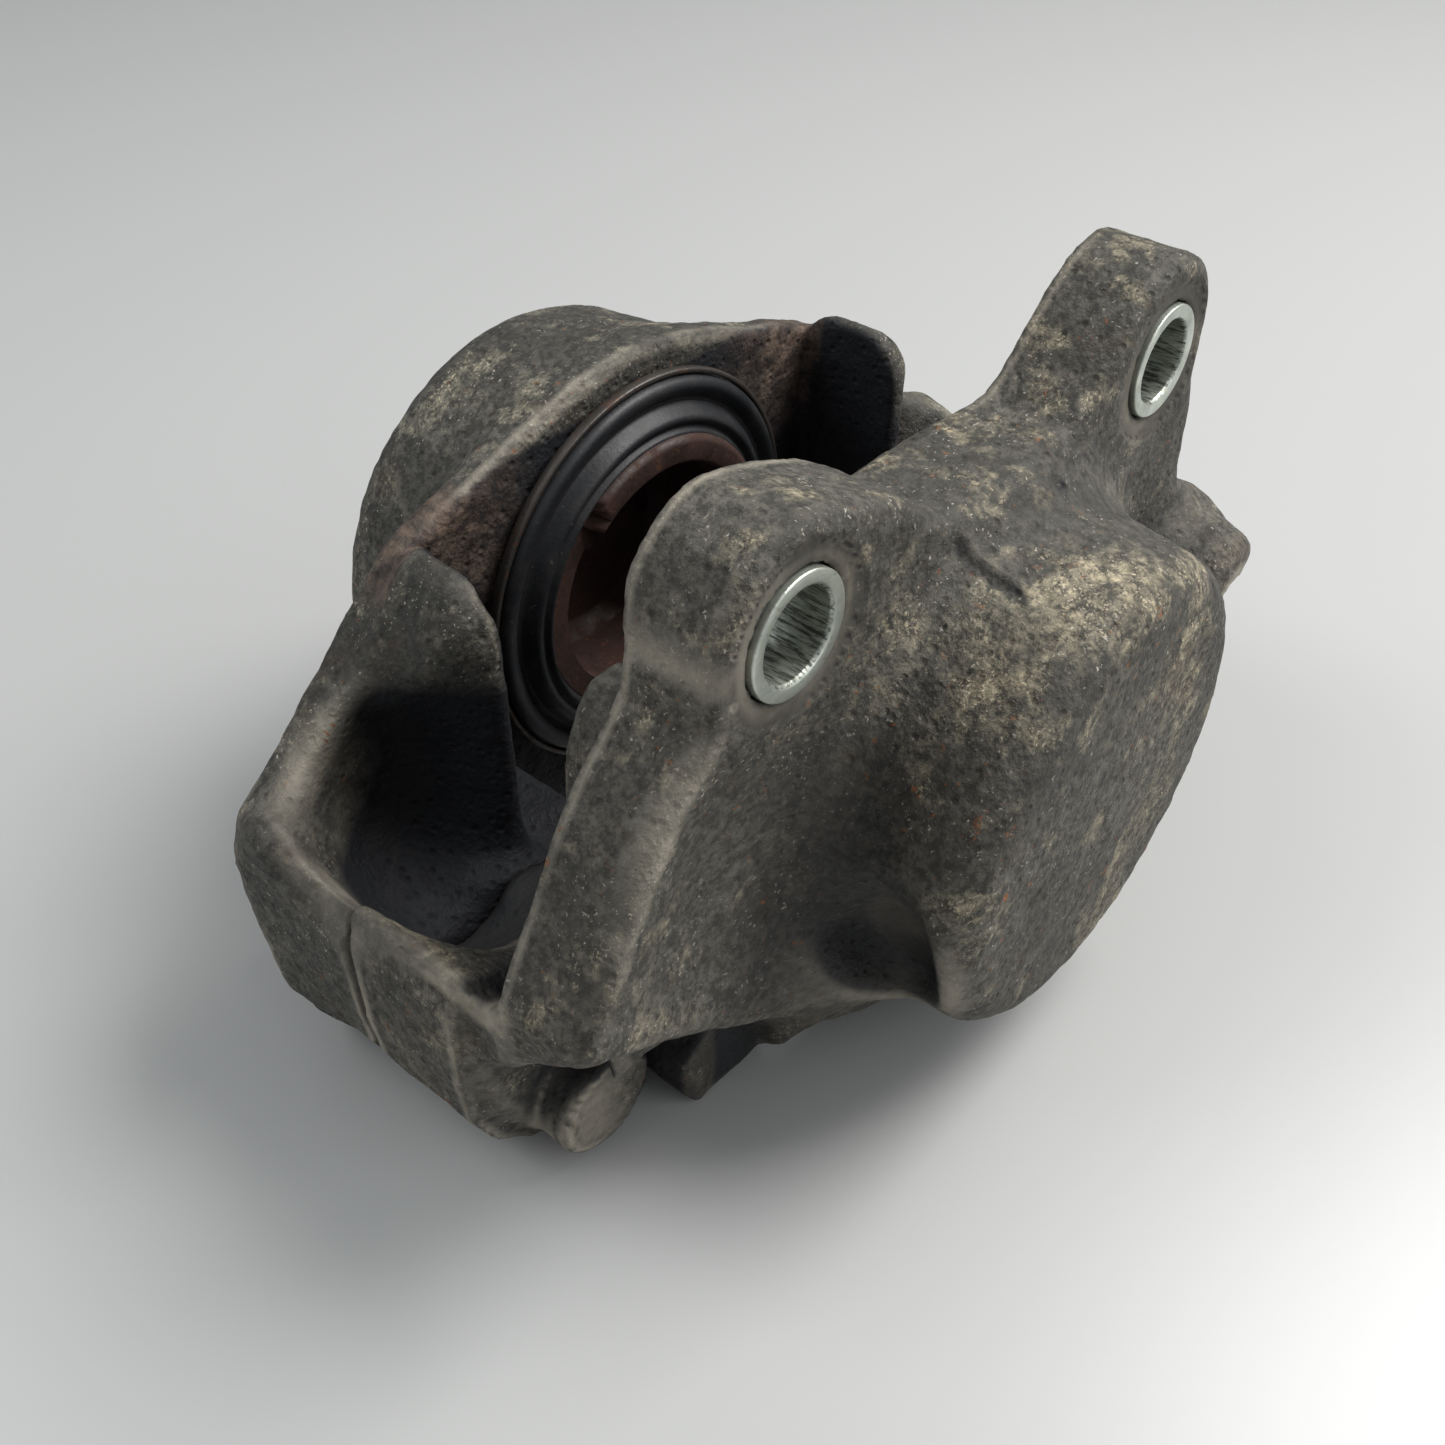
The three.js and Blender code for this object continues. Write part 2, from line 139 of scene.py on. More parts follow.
def make_floor(half=6.0):
    """One large square just under the caliper."""
    mesh = bpy.data.meshes.new("floor")
    corners = [(-half, -half, 0), (half, -half, 0), (half, half, 0), (-half, half, 0)]
    mesh.from_pydata(corners, [], [(0, 1, 2, 3)])
    floor = bpy.data.objects.new("floor", mesh)
    bpy.context.scene.collection.objects.link(floor)
    material = bpy.data.materials.new("pale_floor")
    material.use_nodes = True
    shader = material.node_tree.nodes["Principled BSDF"]
    shader.inputs["Base Color"].default_value = (0.47, 0.475, 0.47, 1.0)
    shader.inputs["Roughness"].default_value = 0.32
    mesh.materials.append(material)
    return floor


make_floor()

# %% [markdown]
# ## Tools for shapes
# Every shape below is a rule worked out for whole arrays of points at once. There are two kinds.
# A turned piece is a profile carried round an axis, which is a grid of two parameters.
# A casting is too lumpy for that. It is made like a founder's pattern, from simple blocks with
# fillets between them. Each block is a distance: below zero inside, above zero outside.
# Joining two distances with a soft minimum gives the fillet. The skin where the distance is zero
# is the casting's surface. Shapes are written in millimetres, and meshes are stored in metres.

# %% Mesh maker
MM = 0.001


def add_mesh(name, points, faces, material):
    """A mesh object from arrays: points in millimetres, faces as rows of three or four corners."""
    mesh = bpy.data.meshes.new(name)
    faces = np.asarray(faces, np.int32)
    width = faces.shape[1]
    mesh.vertices.add(len(points))
    mesh.vertices.foreach_set("co", (np.asarray(points) * MM).astype(np.float32).ravel())
    mesh.loops.add(faces.size)
    mesh.loops.foreach_set("vertex_index", faces.ravel())
    mesh.polygons.add(len(faces))
    mesh.polygons.foreach_set("loop_start", np.arange(0, faces.size, width, dtype=np.int32))
    mesh.polygons.foreach_set("loop_total", np.full(len(faces), width, np.int32))
    mesh.polygons.foreach_set("use_smooth", np.full(len(faces), True))
    mesh.update()
    mesh.validate()
    mesh.materials.append(material)
    piece = bpy.data.objects.new(name, mesh)
    bpy.context.scene.collection.objects.link(piece)
    return piece


def store(piece, name, values):
    """One number for each point of the mesh, for its material to read."""
    layer = piece.data.attributes.new(name, "FLOAT", "POINT")
    layer.data.foreach_set("value", np.asarray(values, np.float32))


# %% [markdown]
# ### Noise
# Old castings are never even. The rule here is value noise: random numbers at the corners of a
# lattice, blended between the corners by a smooth curve. A fixed seed gives the same casting
# every time.

# %% Noise
def smoothstep(v, low, high):
    """0 below low, 1 above high, and a smooth curve between."""
    t = np.clip((v - low) / (high - low), 0, 1)
    return t * t * (3 - 2 * t)


LATTICE = np.random.default_rng(11).random((64, 64, 64))


def noise(x, y, z, cell, shift=0.0):
    """Smooth random value from -1 to 1, which changes over about one cell of that many mm."""
    total = 0.0
    whole, part = [], []
    for axis in (x, y, z):
        place = axis / cell + 200.0 + shift
        low = np.floor(place)
        t = place - low
        whole.append(low.astype(int))
        part.append(t * t * (3 - 2 * t))
    for corner in range(8):
        bits = [(corner >> k) & 1 for k in range(3)]
        weight = 1.0
        index = []
        for k, bit in enumerate(bits):
            weight = weight * (part[k] if bit else 1 - part[k])
            index.append((whole[k] + bit) & 63)
        total = total + weight * LATTICE[index[0], index[1], index[2]]
    return 2 * total - 1


# %% [markdown]
# ### Distances
# These rules give the distance of a flat outline, of an outline carried along one axis with
# rounded edges, and of an outline turned round an axis.


# %% Distance rules
def outline_distance(u, v, outline):
    """Distance to a closed outline in a plane: the nearest of its edges, and below zero inside."""
    nearest = np.full(np.broadcast(u, v).shape, 1e18)
    inside = np.zeros(nearest.shape, bool)
    points = np.asarray(outline, float)
    for (u0, v0), (u1, v1) in zip(points, np.roll(points, -1, axis=0)):
        du, dv = u1 - u0, v1 - v0
        share = np.clip(((u - u0) * du + (v - v0) * dv) / (du * du + dv * dv), 0, 1)
        nearest = np.minimum(nearest, (u - u0 - share * du) ** 2 + (v - v0 - share * dv) ** 2)
        if dv != 0:
            crosses = ((v0 <= v) != (v1 <= v)) & (u < u0 + (v - v0) * du / dv)
            inside ^= crosses
    return np.where(inside, -1.0, 1.0) * np.sqrt(nearest)


def both(a, b, rounding=0.0):
    """Where two distances are both below zero, with an outer edge rounded by that radius."""
    a, b = a + rounding, b + rounding
    return np.minimum(np.maximum(a, b), 0) + np.hypot(np.maximum(a, 0), np.maximum(b, 0)) - rounding


def slab(v, low, high):
    """Distance to the space between two parallel planes."""
    return np.abs(v - (low + high) / 2) - (high - low) / 2


def carried(p, outline, y0, y1, rounding):
    """An outline in x and z carried along y, with rounded edges."""
    x, y, z = p
    return both(outline_distance(x, z, outline), slab(y, y0, y1), rounding)


def turned(p, profile, x0, z0, rounding=0.0):
    """An outline of radius and y turned about a line along y through x0 and z0."""
    x, y, z = p
    return outline_distance(np.hypot(x - x0, z - z0), y, profile) - rounding


def bar(p, x0, z0, radius, y0, y1, rounding=0.0):
    """A round bar along y with rounded ends."""
    x, y, z = p
    return both(np.hypot(x - x0, z - z0) - radius, slab(y, y0, y1), rounding)


def block(p, low, high, rounding=0.0):
    """A box with rounded edges."""
    gaps = [slab(v, a, b) + rounding for v, a, b in zip(p, low, high)]
    outer = np.sqrt(sum(np.maximum(g, 0) ** 2 for g in gaps))
    return outer + np.minimum(np.maximum(np.maximum(gaps[0], gaps[1]), gaps[2]), 0) - rounding


def blob(p, centre, radii):
    """An egg shape: the length of the scaled offset from its centre."""
    q = [(v - c) / r for v, c, r in zip(p, centre, radii)]
    return (np.sqrt(q[0] ** 2 + q[1] ** 2 + q[2] ** 2) - 1) * min(radii)


def join(a, b, fillet):
    """A soft minimum: both solids together, with a fillet in the corner between them."""
    mix = np.maximum(fillet - np.abs(a - b), 0) / fillet
    return np.minimum(a, b) - mix * mix * fillet / 4


def carve(a, b, fillet):
    """The first solid without the second, with a softened edge."""
    return -join(-a, b, fillet)


def drilled(solid, holes):
    """The solid without the holes, with sharp, machined edges."""
    for hole in holes:
        solid = np.maximum(solid, -hole)
    return solid


def worked(solid, steps):
    """The solid after some steps: each joins or carves one distance, with its own fillet."""
    for rule, part, fillet in steps:
        solid = rule(solid, part, fillet)
    return solid


# %% [markdown]
# ### From a distance to a skin
# The distance is worked out on a grid of points. Each grid cell that the skin passes through gets
# one point, at the middle of the places where the skin crosses the cell's edges. Each grid edge
# that is crossed gets one four-sided face, between the four cells round it. Then each point slides
# along the distance's slope, until it is on the true surface. The whole of it is array work.


# %% Skin of a distance
def skin(field, low, high, step):
    """Points and faces of the surface where the field is zero, inside a box, in mm."""
    axes = [np.arange(a, b + step, step) for a, b in zip(low, high)]
    grid = (axes[0][:, None, None], axes[1][None, :, None], axes[2][None, None, :])
    value = field(grid)
    inside = value < 0
    counts = [n - 1 for n in value.shape]
    mixed = np.zeros(counts, np.int8)
    for i, j, k in itertools.product((0, 1), repeat=3):
        mixed += inside[i:counts[0] + i, j:counts[1] + j, k:counts[2] + k]
    cells = np.argwhere((mixed > 0) & (mixed < 8))
    number = np.full(counts, -1, np.int64)
    number[tuple(cells.T)] = np.arange(len(cells))
    total, crossings = np.zeros((len(cells), 3)), np.zeros(len(cells))
    for axis, first, second in itertools.product(range(3), (0, 1), (0, 1)):
        start = np.insert([first, second], axis, 0)
        end = np.insert([first, second], axis, 1)
        a, b = value[tuple((cells + start).T)], value[tuple((cells + end).T)]
        crossed = (a < 0) != (b < 0)
        place = np.repeat(start[None].astype(float), len(cells), 0)
        place[:, axis] = np.where(crossed, a / np.where(crossed, a - b, 1), 0)
        total += place * crossed[:, None]
        crossings += crossed
    points = np.array([a[0] for a in axes]) + (cells + total / crossings[:, None]) * step
    faces = []
    for axis in range(3):
        b, c = (axis + 1) % 3, (axis + 2) % 3
        here = [slice(None)] * 3
        there = [slice(None)] * 3
        here[axis], there[axis] = slice(0, -1), slice(1, None)
        change = inside[tuple(here)] != inside[tuple(there)]
        spots = np.argwhere(change)
        spots = spots[(spots[:, b] > 0) & (spots[:, c] > 0)]
        spots = spots[(spots[:, b] < counts[b]) & (spots[:, c] < counts[c])]
        ring = []
        for db, dc in ((-1, -1), (0, -1), (0, 0), (-1, 0)):
            cell = spots.copy()
            cell[:, b] += db
            cell[:, c] += dc
            ring.append(number[tuple(cell.T)])
        quads = np.stack(ring, 1)
        outward = inside[tuple(spots.T)]
        faces.append(np.where(outward[:, None], quads, quads[:, ::-1]))
    return points, np.concatenate(faces)


def slope(field, points, reach=0.05):
    """The direction in which the field grows fastest at each point, by small steps along each axis."""
    parts = []
    for axis in range(3):
        step = np.zeros(3)
        step[axis] = reach
        parts.append(field((points + step).T) - field((points - step).T))
    normal = np.stack(parts, 1)
    return normal / np.maximum(np.linalg.norm(normal, axis=1), 1e-9)[:, None]


def settle(field, points, step, rounds=3):
    """Slides points along the slope onto the surface, by no more than half a grid step at a time."""
    for _ in range(rounds):
        reach = np.clip(field(points.T), -step / 2, step / 2)
        points = points - slope(field, points) * reach[:, None]
    return points


# %% [markdown]
# ## The two castings
# The first numbers are the ones that both halves share. They repeat the frame's own sizes, so each
# casting fills the same space as its frame solid, and its bores stay where the pistons are.

# %% Shared sizes
AXIS_Z = 46.0
DRUM_END = 59.5
BORE = 24.25
BORE_FLOOR = 50.5
SPLIT = 6.0
INNER_JOINT, OUTER_JOINT = SPLIT - 0.15, SPLIT + 0.15
HALF_LENGTH = 79.1
RECESS = 28.0
DISC_Z, DISC_R = 144.0, 126.0
BOLT_PLACES = {"outer_left": (-61, 10.5), "inner_left": (-43, 10),
               "inner_right": (43, 10), "outer_right": (61, 10.5)}
PASSAGES = [(-68, 20), (68, 20)]
EARS = [(-41, 88), (41, 88)]
STEP = 1.0


def drum(p, side, radius, root, z0, edge=9.0, dome=0.6):
    """A closed cylinder on the piston axis: a turned outline, shrunk and then grown by its edge."""
    inner = radius - edge
    profile = [(0, 20), (root - edge, 20), (root - edge, 32), (inner, DRUM_END - edge - dome),
               (0, DRUM_END - edge)]
    x, y, z = p
    return turned((x, side * y, z), profile, 0, z0, edge)


def abutment(p, side, end):
    """The pillar that one end of a pad bears on. Its back slopes away to the open end."""
    x, y, z = p
    u, v = end * x, side * y
    foot, slope_end = [(43, 20), (66, 20), (66, 50)], [(64, 26), (43, 26)]
    if side < 0:
        plan = outline_distance(u, v, [(43, 10), (54, 10), (55.5, 13)] + slope_end)
        front = outline_distance(u, z, foot + [(57, 57), (54.5, 65), (52, 71), (49, 74), (43, 74)])
        return both(plan, front, 2.6)
    plan = outline_distance(u, v, [(43, 10), (47, 10), (54, 14.5)] + slope_end)
    front = outline_distance(u, z, foot + [(57, 58), (51.5, 67.5), (48.5, 72.5), (46, 74), (43, 74)])
    corner = (74 - z) * 0.64 + (v - 10) * 0.77 - 3.6
    return carve(both(plan, front, 2.6), corner, 3.0)


def bridge_end(full):
    """Half of the bridge's section in x and z, fuller in the middle than at the wings."""
    slim = [(0, 0), (56, 0), (64, 3), (69, 9), (74, 18), (76.5, 28), (76.5, 38), (76.5, 43.5)]
    belly = [(0, 0), (60, 0), (69, 2.5), (74.5, 8), (78, 16), (79, 26), (79, 38), (76.5, 43.5)]
    half = belly if full else slim
    return half + [(-x, z) for x, z in half[:0:-1]]


def bridge(p, y0, y1, full, rounding):
    """The bridge: its section carried along y, hollowed on top by the round edge of the disc."""
    x, y, z = p
    body = outline_distance(x, z, bridge_end(full))
    hollow = DISC_R - np.hypot(x, z - DISC_Z)
    return both(np.maximum(body, hollow), slab(y, y0, y1), rounding)


def pad_room(p, side, top):
    """The window that a pad comes in by, and the flat-backed recess that it sits in."""
    x, y, z = p
    v = side * y
    window = block((x, v, z), (-33, -5, -9), (33, RECESS, 34), 2)
    recess = block((x, v, z), (-43, -5, 27), (43, RECESS, top), 1)
    return np.minimum(window, recess)


def bore(p, side):
    """The piston's bore with its seal groove, and the collar that the boot grips is left round it."""
    x, y, z = p
    profile = [(0, 24), (BORE, 24), (BORE, 32), (27.4, 32), (27.4, 36.2), (BORE, 36.2),
               (BORE, BORE_FLOOR), (0, BORE_FLOOR)]
    return turned((x, side * y, z), profile, 0, AXIS_Z)


def bowl(p, end):
    """The deep bowl at an open end, which reaches across both halves beside the disc."""
    x, y, z = p
    return blob((end * x, y, z), (60.5, 8.5, 45), (12.8, 17.5, 19.5))


def collar(p, side):
    """The ring round the mouth of the bore."""
    x, y, z = p
    return bar((x, side * y, z), 0, AXIS_Z, 30, 25.5, 34, 0.5)


# %% [markdown]
# ### Inner half
# The inner half carries the two ears that bolt to the car, a wing on each side, the drum with its
# piston, and the boss that the brake hose screws into. The ears and wings are one thick outline
# with rounded edges. The wide wing has a shallow dish, a pocket lies beside the drum, and fillets
# blend everything, as moulding sand needs.

# %% Inner half
WIDE_EDGE = [(54.8, 81.5), (57.3, 78.5), (61.5, 74), (66.5, 67.5), (70.5, 60.5), (74.5, 53.5),
             (77.3, 47.5)]
SLIM_EDGE = [(54.3, 81.5), (56.5, 73), (57.5, 62), (61, 56.5), (69, 52), (76.5, 47)]
SLIM_SLOPE = [(0, 87.2), (10, 87), (17.5, 87.8), (23, 91.9), (30, 98), (34, 100.8), (38, 102.2)]
WIDE_SLOPE = [(0, 87.2), (6, 87.6), (12, 88.8), (16, 91.4), (19.5, 94.4), (24, 97), (30, 99.6),
              (38, 102.2)]
FOOT = [(76.5, 40), (72, 30), (62, 18), (52, 12), (36, 5), (0, 5)]
BOSSES = [(33, 1.5), (38, 0), (48, 0.6), (50.5, 5), (50.5, 12), (44, 18), (0, 18), (0, 5)]
EAR_FRONT, EAR_BACK = -36, -21
ARM_UNDERSIDE = 80.2
LUG_ROOT = 15.5
INLET = (58.5, 42.5)
BLEEDER = (60, 43)


def ear_top():
    """Round the top of an ear."""
    turn = np.radians(np.linspace(90, -10, 13))
    return [(41.5 + 12.5 * math.cos(t), 90.3 + 12.5 * math.sin(t)) for t in turn]


def wing_outline():
    """The whole outline of ears and wings: the slim side at +x, the wide side at -x."""
    right = SLIM_SLOPE + ear_top() + SLIM_EDGE + FOOT
    left = [(-x, z) for x, z in (WIDE_SLOPE + ear_top() + WIDE_EDGE + FOOT)[::-1]]
    return right + left[1:-1]


def under_wings(p):
    """The sloping underside of the wings: a plane on each side, lower towards the disc."""
    x, y, z = p
    return ((np.abs(x) - 33) * 0.585 - (z - 12) * 0.811 - (y + 32) * 0.7) / 1.22


def lap(p, at, y0, y1):
    """A lap in the casting, where two streams of iron met: a lip with a groove beside it, along y."""
    x, y, z = p
    across = (x - at - 0.9 * np.sin(y * 0.4)) / 0.7
    along = smoothstep(-np.abs(y - (y0 + y1) / 2) + (y1 - y0) / 2, 0, 3.0) * smoothstep(z, 70, 76)
    return along * (0.8 * np.exp(-(across - 0.8) ** 2) - np.exp(-(across + 0.6) ** 2))


def drum_marks(p):
    """Marks on the drum's end: the ring and the pip that the pattern left, and a sand pit."""
    x, y, z = p
    at_end = smoothstep(-y, 57.5, 58.5)
    ring = 0.35 * np.exp(-((np.hypot(x - 14, z - 62) - 7) / 0.9) ** 2)
    pip = 0.4 * np.exp(-((np.hypot(x - 12, z - 63) - 2.6) / 0.7) ** 2)
    pit = 0.9 * np.exp(-(np.hypot(x + 19, z - 43) / 1.6) ** 2)
    return at_end * (ring - pip - pit)


def slanted(p, centre, lean):
    """The point's place beside a line through a centre that leans in x and z: across, y, along."""
    x, y, z = p
    c, s = math.cos(lean), math.sin(lean)
    u, w = x - centre[0], z - centre[2]
    return u * c + w * s, y - centre[1], w * c - u * s


def inner_half(p):
    """Distance to the inner casting."""
    x, y, z = p
    folded = (np.abs(x), y, z)
    plan = outline_distance(x, z, wing_outline())
    body = np.minimum(both(plan, slab(y, EAR_FRONT, -24), 2.6), both(plan, slab(y, -33, EAR_BACK), 1.2))
    body = worked(body, [
        (carve, -under_wings(p), 1.0),
        (join, drum(p, -1, 35.5, 38, AXIS_Z, 6.5), 9 + 8 * smoothstep(48 - z, 0, 16)),
        (join, bar(p, *INLET, 11, -48.5, -26, 4.5), 12),
        (carve, blob(p, (-52, -42.0, 53), (14, 8.5, 22)), 8),
        (carve, blob(slanted(p, (-36, -46.5, 40), 0.5), (0, 0, 0), (6.5, 7.5, 19)), 3.0)])
    for at, y0, y1 in ((-10.5, -48, -35), (10.5, -41, -36)):
        body = body - 0.55 * lap(p, at, y0, y1)
    below = np.maximum(-under_wings(p), y + LUG_ROOT)
    body = worked(body - drum_marks(p), [
        (join, bridge(p, -22, INNER_JOINT, False, 1.2), 6),
        (carve, np.maximum(below, 36 - np.abs(x)), 1.5),
        (join, bridge(p, -13.5, INNER_JOINT, True, 0.8), 5),
        (join, carried(folded, BOSSES, -27, -12, 1.0), 1.5),
        (join, bar(folded, 61, 10.5, 8.6, -22, -10, 1.0), 1.5),
        (join, block(p, (-36, -32.5, 5), (36, -26, 20), 2), 6),
        (join, abutment(p, -1, -1), 3), (carve, bowl(p, -1), 5),
        (join, abutment(p, -1, 1), 3), (carve, bowl(p, 1), 5),
        (carve, pad_room(p, -1, ARM_UNDERSIDE), 1.5)])
    body = np.minimum(np.maximum(body, y - INNER_JOINT), collar(p, -1))
    body = np.maximum(np.maximum(body, -z), np.abs(x) - HALF_LENGTH)
    bush_holes = [bar(p, *ear, 8.4, -40, -15) for ear in EARS]
    spot_faces = [bar(p, *ear, 11.2, -45, -35.4, 0.3) for ear in EARS]
    bolt_holes = [bar(p, *bolt, 5.25, -17.3, 9) for bolt in BOLT_PLACES.values()]
    port = bar(p, *INLET, 4.6, -52, -36.5)
    return drilled(body, [bore(p, -1), port] + bush_holes + spot_faces + bolt_holes)


print("ear outline has", len(wing_outline()), "corners")


# %% [markdown]
# ### Outer half
# The outer half has a drum of its own on a flat wall. At each open end a deep bowl reaches from the
# wall across the bridge, which leaves a raised edge on its outside. The bleed screw's boss and
# the bolt heads are on its back.


# %% Outer half
TOP_EDGE = [(0, 80), (22, 78), (36, 74.5), (45, 71), (52, 64.5), (60, 57), (68, 49.5), (75, 42.5)]
END_EDGE = [(77, 37), (76, 26), (73.5, 18), (70, 8), (64, 2), (57, 0), (0, 0)]


def outer_half(p):
    """Distance to the outer casting."""
    x, y, z = p
    outline = TOP_EDGE + END_EDGE + [(-a, b) for a, b in (TOP_EDGE + END_EDGE)[-2:0:-1]]
    body = worked(carried(p, outline, 23.8, 34, 2.6), [
        (join, drum(p, 1, 38.5, 40, AXIS_Z - 3), 7),
        (join, bridge(p, OUTER_JOINT, 25, True, 0.8), 14),
        (join, bar(p, *BLEEDER, 8, 28, 43, 1.5), 5)])
    bolts = BOLT_PLACES.values()
    body = worked(body, [(join, bar(p, bx, max(bz, 10), 10, 24, 34, 1.0), 3) for bx, bz in bolts])
    body = worked(body, [
        (join, abutment(p, 1, -1), 5), (carve, bowl(p, -1), 5),
        (join, abutment(p, 1, 1), 5), (carve, bowl(p, 1), 5),
        (carve, pad_room(p, 1, 130), 1.5)])
    body = np.minimum(np.maximum(body, OUTER_JOINT - y), collar(p, 1))
    body = np.maximum(np.maximum(body, -z), np.abs(x) - HALF_LENGTH)
    seal_holes = [bar(p, *passage, 4.6, 0, 8.2) for passage in PASSAGES]
    bolt_holes = [bar(p, *bolt, 5.25, 0, 40) for bolt in bolts]
    head_faces = [bar(p, *bolt, 9.0, 34, 50) for bolt in bolts]
    bleed_hole = bar(p, *BLEEDER, 4.3, 28, 50)
    return drilled(body, [bore(p, 1), bleed_hole] + seal_holes + bolt_holes + head_faces)


# %% [markdown]
# ### Cast skin
# Machined faces stay smooth: the bores, the spot faces round the ears and the joint between the
# halves. The rest gets two scales of lumps, which are real geometry. Two more rules are stored on
# each point, for the finish: how far the surface stands out as an edge, and how deep it lies in
# a hollow, which the finish darkens as painted shade. Both compare the distance a few millimetres off the
# surface with what a flat face has.


# %% Cast skin
LUMPS = ((0.16, 7.0, 0.0), (0.13, 2.6, 7.3), (0.10, 1.3, 3.1))    # height, cell and shift, in mm
SINK = 0.16                                   # the skin is set in by this, to leave room for lumps
EDGE_REACH = 3.0
HOLLOW_REACHES = ((2.5, 0.2), (7.0, 0.35), (16.0, 0.45))          # distance in mm, and its share


def machined(points):
    """1 on machined faces, 0 on the raw casting, with a soft change between."""
    x, y, z = points.T
    side = np.abs(y)
    bores = smoothstep(31.5 - np.hypot(x, z - AXIS_Z), 0, 1) * smoothstep(52 - side, 0, 1)
    ears = np.maximum(*(smoothstep(12.2 - np.hypot(x - ex, z - ez), 0, 0.8) for ex, ez in EARS))
    ears = ears * smoothstep(-y, 34.4, 35.0) * smoothstep(36.6 + y, 0, 0.6)
    joint = smoothstep(0.8 - np.abs(y - SPLIT), 0, 0.5)
    return np.maximum(np.maximum(bores, ears), joint)


def red_rust(points):
    """1 where the iron is raw and red: on the ridge over each abutment, and the recess behind it."""
    x, y, z = points.T
    ridge = smoothstep(y, 24.5, 26) * smoothstep(z, 64, 69) * smoothstep(np.abs(x), 31, 36)
    ridge = ridge * smoothstep(55 - np.abs(x), 0, 6)
    recess = smoothstep(y, 26.2, 27.5) * smoothstep(28.6 - y, 0, 0.4) * smoothstep(z, 50, 64)
    recess = recess * smoothstep(44 - np.abs(x), 0, 0.6) * smoothstep(np.abs(x), 18, 34)
    return np.clip(0.75 * ridge + 0.7 * recess, 0, 1) * (1 - machined(points))


def painted_shade_and_soot(points):
    """Painted shade with black brake dust: in the bowls, darker towards their middles and bottoms, and
    round the pads.
    """
    x, y, z = points.T
    centre = np.hypot((np.abs(x) - 57) / 17, (y - 10) / 18)
    bowls = smoothstep(1.08 - centre, 0, 0.42) * smoothstep(68 - z, 0, 20)
    recess = smoothstep(28.8 - np.abs(y), 0, 0.5) * smoothstep(46 - np.abs(x), 0, 3)
    return np.maximum(bowls, 0.75 * recess * smoothstep(79 - z, 0, 4))


def cast_piece(name, field, low, high, material):
    """The skin of a field with cast lumps, and with its edges and hollows stored for the finish."""
    points, faces = skin(field, low, high, STEP)
    points = settle(field, points, STEP)
    normal = slope(field, points)
    x, y, z = points.T
    lumps = sum(height * noise(x, y, z, cell, shift) for height, cell, shift in LUMPS)
    smooth = machined(points)
    edge = np.clip(1 + field((points - EDGE_REACH * normal).T) / EDGE_REACH, 0, 1)
    hollow = np.zeros(len(points))
    for reach, share in HOLLOW_REACHES:
        hollow += share * np.clip(1 - field((points + reach * normal).T) / reach, 0, 1)
    # The bowls and the slot between the halves get painted shade and soot on top of the hollow measure.
    hollow = np.maximum(hollow, painted_shade_and_soot(points))
    moved = points + normal * ((lumps - SINK) * (1 - smooth))[:, None]
    moved = np.clip(moved, np.array(CAD_BOX[0]) / MM, np.array(CAD_BOX[1]) / MM)
    piece = add_mesh(name, moved, faces, material)
    store(piece, "edge", edge)
    store(piece, "hollow", hollow)
    store(piece, "machined", smooth)
    store(piece, "red", red_rust(points))
    print(f"{name}: {len(points)} points, {len(faces)} faces")
    return piece


# %% [markdown]
# ## Finishes
# A finish is a small network of shader nodes. The helper below adds one node and wires its inputs,
# so that a material reads as a list of steps. Every pattern follows Object coordinates, which
# are metres in the frame, so a noise scale of 500 has lumps of about 2 mm.


# %% Node helper
def wire(sockets, values):
    """Fills sockets by name: the output of another node is linked, a number or colour is set."""
    for key, value in values.items():
        if isinstance(value, bpy.types.NodeSocket):
            value.id_data.links.new(value, sockets[key])
        else:
            sockets[key].default_value = value


def add_node(tree, kind, inputs=None, **settings):
    """One shader node, with its settings and its inputs."""
    made = tree.nodes.new(kind)
    for key, value in settings.items():
        setattr(made, key, value)
    wire(made.inputs, inputs or {})
    return made


def math_node(operation, *values):
    """A Math node's output, in the tree that its linked values are in."""
    tree = next(value.id_data for value in values if isinstance(value, bpy.types.NodeSocket))
    return add_node(tree, "ShaderNodeMath", dict(enumerate(values)), operation=operation).outputs[0]


def times(*values):
    """The product of several masks."""
    product = values[0]
    for value in values[1:]:
        product = math_node("MULTIPLY", product, value)
    return product


def spread(value, low, high, new_low=0.0, new_high=1.0):
    """A value stretched from one range to another, and kept inside it."""
    ranges = {0: value, 1: low, 2: high, 3: new_low, 4: new_high}
    return add_node(value.id_data, "ShaderNodeMapRange", ranges).outputs[0]


def grain(place, scale, detail=3.0, roughness=0.6, distortion=0.0):
    """A noise texture's value at a place."""
    inputs = {"Vector": place, "Scale": scale, "Detail": detail, "Roughness": roughness,
              "Distortion": distortion}
    return add_node(place.id_data, "ShaderNodeTexNoise", inputs).outputs["Fac"]


def blend_colour(share, below, above):
    """A colour between two others, by a share from 0 to 1. Inputs 6 and 7 are its colour sockets."""
    below, above = ((*c, 1.0) if isinstance(c, tuple) else c for c in (below, above))
    made = add_node(share.id_data, "ShaderNodeMix", data_type="RGBA")
    wire(made.inputs, {0: share, 6: below, 7: above})
    return made.outputs[2]


def stored(tree, name):
    """A number kept on each point of the mesh."""
    return add_node(tree, "ShaderNodeAttribute", attribute_name=name).outputs["Fac"]


